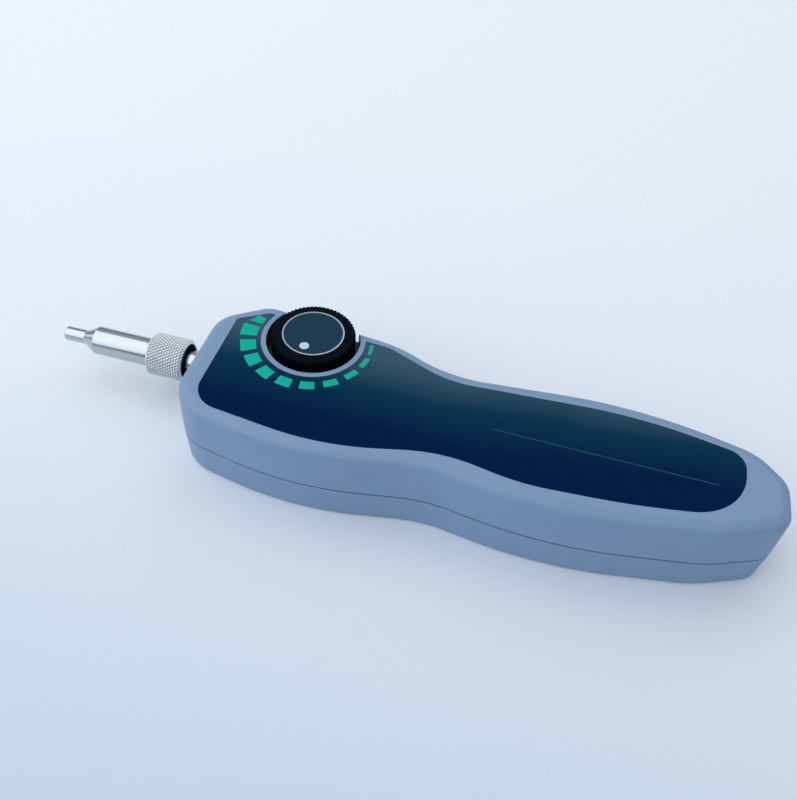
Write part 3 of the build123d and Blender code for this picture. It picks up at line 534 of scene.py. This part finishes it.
# The nose: a black rubber gasket round the steel barrel, and the inspection tip, a stainless sleeve turned
# in one piece with its taper and slim ferrule nose.
dress(moulded("gasket rubber", (16, 16, 17), (24, 24, 26), 0.7, 0.25, 0.02), "nose_gasket")
stainless = metal("turned stainless", (178, 185, 189), (200, 206, 209), 0.18, 0.07, "x", 0.0015)
dress(stainless, "optical_barrel", "inspection_tip")

# The coupling nut: stainless, with a diamond knurl rolled round it between two bevels, open behind, and a
# front lip that draws the tip's flange onto the barrel. The knurl's grooves are a little darker from
# painted shade.
tip_axis = (5.7, 12.75)
nut_front = -75.6
nut_rear = -64.3
nut_radius = 6.3
nut_bevel = 0.8
nut_face = 5.5
nut_bore = 5.15
nut_lip = 1.3
lip_hole = 4.35
bore_bevel = 0.2
band_rows = 92
lip_rear = nut_front + nut_lip
band_front = nut_front + nut_bevel
band_rear = nut_rear - nut_bevel
nut_profile = outline(
    ((lip_hole, nut_front), (nut_face - wide_ease, nut_front), 3),
    ((nut_face, nut_front), (nut_radius, band_front), 6),
    ((nut_radius, band_front + wide_ease), (nut_radius, band_rear - wide_ease), band_rows),
    ((nut_radius, band_rear), (nut_face, nut_rear), 6),
    ((nut_face - 0.03, nut_rear), (nut_bore + bore_bevel + 0.03, nut_rear), 2),
    ((nut_bore + bore_bevel, nut_rear), (nut_bore, nut_rear - bore_bevel), 2),
    ((nut_bore, nut_rear - 2 * bore_bevel), (nut_bore, lip_rear), 6),
    ((nut_bore - ease, lip_rear), (lip_hole + ease, lip_rear), 3),
    ((lip_hole, lip_rear - ease), (lip_hole, nut_front + wide_ease), 3),
)

diamonds_round = 38
diamond_columns = 12
diamond_depth = 0.36
diamond_slope = 0.66
groove_half = 0.32
knurl_start = nut_radius - 0.6
knurl_fade = 0.3


def knurl(radius, place, turn):
    """Two families of helical V grooves that cross at a slant, fading out over the bevels."""
    pitch = 2 * np.pi * nut_radius / diamonds_round
    slant = (place - nut_front) * diamond_slope / pitch
    around = turn * diamonds_round / (2 * np.pi)
    deep = np.zeros_like(radius)
    for way in (-1, 1):
        phase = (around + way * slant) % 1.0
        deep = np.maximum(deep, 1 - np.abs(phase - 0.5) / groove_half)
    band = np.clip((radius - knurl_start) / knurl_fade, 0, 1)
    return diamond_depth * np.clip(deep, 0, 1) * band


nut_body = turned("nut_body", nut_profile, diamonds_round * diamond_columns, tip_axis, "x", knurl)

unshaded_depth = 0.06  # the painted shade in the grooves starts this far below the crests
groove_shade_strength = 0.8
nut_rough = 0.24
nut_middle = (nut_front + nut_rear) / 2
band_half = (band_rear - band_front) / 2
nut_steel = Finish("nut steel", Metallic=1.0)
from_axis = nut_steel.reach((0, *tip_axis), (0, 1, 1))
# Painted shade: the knurl's grooves darken with depth, on the knurled band only.
groove_shade = (((nut_radius - unshaded_depth) * MM - from_axis) / (diamond_depth * MM)).clamp()
on_band = abs(nut_steel.along("X") - nut_middle * MM) < band_half * MM
crest = nut_steel.blend(nut_steel.noise(2.0), ink(206, 213, 217), ink(224, 229, 232))
shaded = nut_steel.blend(groove_shade * on_band * groove_shade_strength, crest, ink(112, 120, 126))
nut_steel.set(Base_Color=shaded, Roughness=nut_rough + (nut_steel.noise(0.4) - 0.5) * gloss_by_streak)
nut_body.data.materials.append(nut_steel.material)
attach(nut_body, "nut")
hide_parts("coupling_nut")

# The studio floor: a pale blue-white sweep just under the probe. Its tones are painted light and shade:
# darkest a little in front of the probe, brighter close under it and behind it, for how the studio light
# falls across it.
floor_half = 1500.0
floor_drop = 0.02
tone_per_metre = 0.6
tone_at_probe = 0.52
tone_drift = 0.02
painted_floor_light = (
    (0.0, (238, 243, 250)),
    (0.42, (200, 214, 230)),
    (0.47, (213, 226, 241)),
    (0.52, (236, 243, 250)),
    (0.60, (243, 248, 253)),
    (0.75, (248, 252, 255)),
)

ends = (-floor_half, floor_half)
floor = surface("studio_floor", [np.array([[(x, y, -floor_drop) for x in ends] for y in ends])])
sweep = Finish("studio floor", Roughness=0.9, Specular_IOR_Level=0.1)
# Painted light and shade: the floor's colour follows Y, darker in front of the probe and brighter behind
# it.
painted_light_place = sweep.along("Y") * tone_per_metre + tone_at_probe + (sweep.noise(300.0) - 0.5) * tone_drift
painted_floor_stops = [(place, ink(*colour)) for place, colour in painted_floor_light]
sweep.set(Base_Color=sweep.put("ShaderNodeValToRGB", {"stops": painted_floor_stops}, Fac=painted_light_place))
floor.data.materials.append(sweep.material)

# The surround: it lights the probe evenly, a little more from the horizon than from overhead. What metal
# and glass mirror of it is darker towards the horizon, and the camera sees it as one pale sky.
fill_stops = [(0.0, ink(196, 200, 205)), (0.8, ink(162, 168, 179))]
mirror_stops = [(0.0, ink(112, 124, 126)), (0.35, ink(150, 160, 166)), (0.75, ink(192, 199, 207))]
pale_sky = ink(232, 239, 248)

world = bpy.data.worlds.new("studio surround")
bpy.context.scene.world = world
world.use_nodes = True
sky = Wiring(world.node_tree)
direction = sky.put("ShaderNodeTexCoord", out="Generated")
upwards = sky.put("ShaderNodeSeparateXYZ", out="Z", Vector=direction)
fill = sky.put("ShaderNodeValToRGB", {"stops": fill_stops}, Fac=upwards)
mirrored = sky.put("ShaderNodeValToRGB", {"stops": mirror_stops}, Fac=upwards)
by_camera, by_gloss, by_glass = (
    sky.put("ShaderNodeLightPath", out=f"Is {kind} Ray") for kind in ("Camera", "Glossy", "Transmission")
)
lit = sky.blend((by_gloss + by_glass).clamp(), fill, mirrored)
background = world.node_tree.nodes["Background"]
connect(sky.tree, background.inputs["Color"], sky.blend(by_camera, lit, pale_sky))


# The lamps: a broad soft one at the front left, high over the near side, and a weaker one behind the probe
# that lights its far border.
def lamp(name, place, side, power, colour):
    """Square area lamp at a place in metres, turned towards the probe at the origin."""
    light = bpy.data.lights.new(name, "AREA")
    light.size = side
    light.energy = power
    light.color = colour
    holder = bpy.data.objects.new(name, light)
    turned_to = (-Vector(place)).to_track_quat("-Z", "Y").to_matrix().to_4x4()
    holder.matrix_world = Matrix.Translation(place) @ turned_to
    bpy.context.scene.collection.objects.link(holder)


lamp("front lamp", (-0.75, -0.3, 0.86), 2.0, 13.4, (1.0, 0.99, 0.98))
lamp("back lamp", (0.1, 0.6, 0.85), 0.9, 1.8, (1.0, 1.0, 0.99))

# The camera stands near the probe, above its near side and a little towards the butt end. It is rolled by
# a few degrees and aims at the panel near the middle of the probe.
camera_target = Vector((0.77, -1.37, 25.5)) * MM
camera_distance = 213.3 * MM
azimuth = math.radians(11.3)
elevation = math.radians(48.45)
roll = math.radians(4.71)
lens_length = 36.0
frame_width = 36.0
sight_start = 0.01
sight_end = 10.0

right = Vector((math.cos(azimuth), math.sin(azimuth), 0))
flat_back = Vector((math.sin(azimuth), -math.cos(azimuth), 0))
back = flat_back * math.cos(elevation) + Vector((0, 0, math.sin(elevation)))
up = back.cross(right)
rolled_right = right * math.cos(roll) + up * math.sin(roll)
rolled_up = up * math.cos(roll) - right * math.sin(roll)
lens = bpy.data.cameras.new("camera")
lens.lens = lens_length
lens.sensor_width = frame_width
lens.clip_start = sight_start
lens.clip_end = sight_end
camera = bpy.data.objects.new("camera", lens)
stand = Matrix.Translation(camera_target + back * camera_distance)
camera.matrix_world = stand @ Matrix((rolled_right, rolled_up, back)).transposed().to_4x4()
bpy.context.scene.collection.objects.link(camera)
bpy.context.scene.camera = camera
bpy.context.scene.view_settings.view_transform = "Standard"
